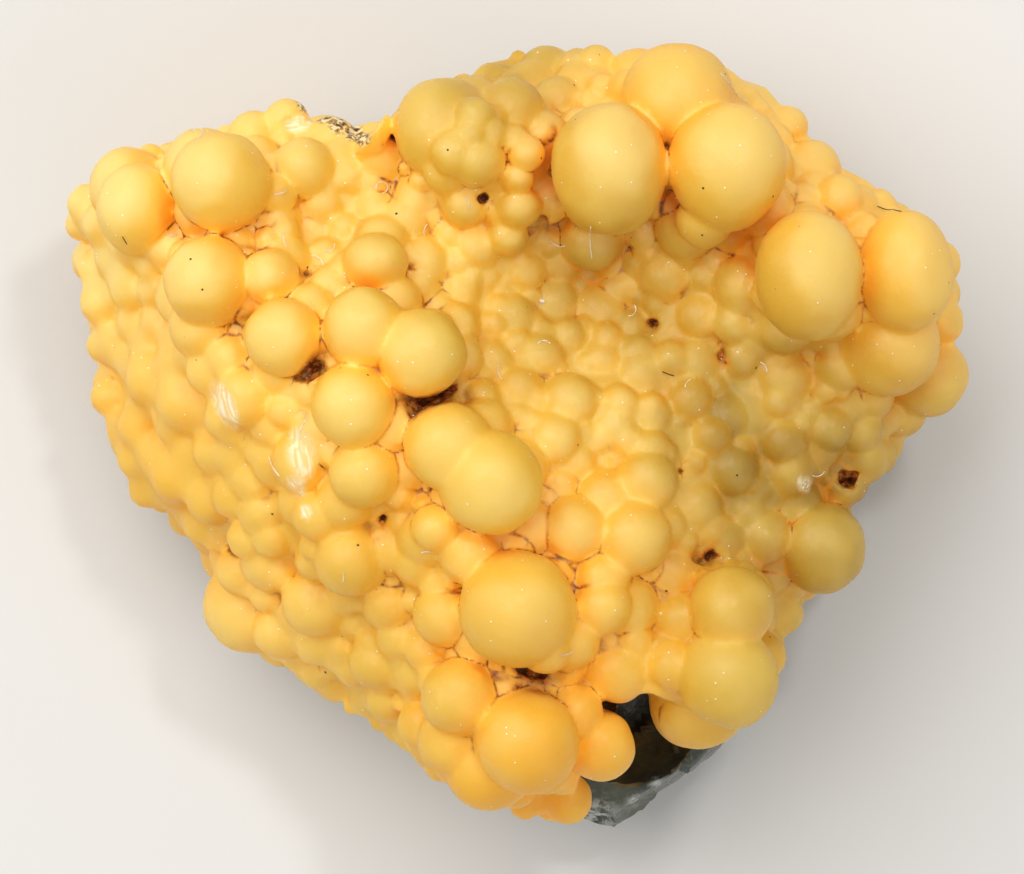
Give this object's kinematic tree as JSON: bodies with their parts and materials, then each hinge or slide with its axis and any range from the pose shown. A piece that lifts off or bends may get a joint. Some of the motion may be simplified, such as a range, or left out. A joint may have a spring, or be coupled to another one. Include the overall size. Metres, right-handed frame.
{
  "type": "mimetite specimen",
  "caption": "Mineral specimen: a botryoidal crust of creamy yellow to orange mimetite globes over a broken piece of grey-white vein quartz, lying on its flat back",
  "frame": {"origin": "middle of the outline, on the plane of the flat break that the specimen lies on", "axes": "X runs to the right and Y up in the displayed face, Z rises from the surface that the specimen lies on through the displayed face"},
  "size_m": [0.0459, 0.0394, 0.0251],
  "materials": {
    "quartz": "satin",
    "mimetite": "satin"
  },
  "bodies": {
    "root": {"matrix_rock": "quartz", "mimetite_crust": "mimetite"}
  },
  "joints": []
}
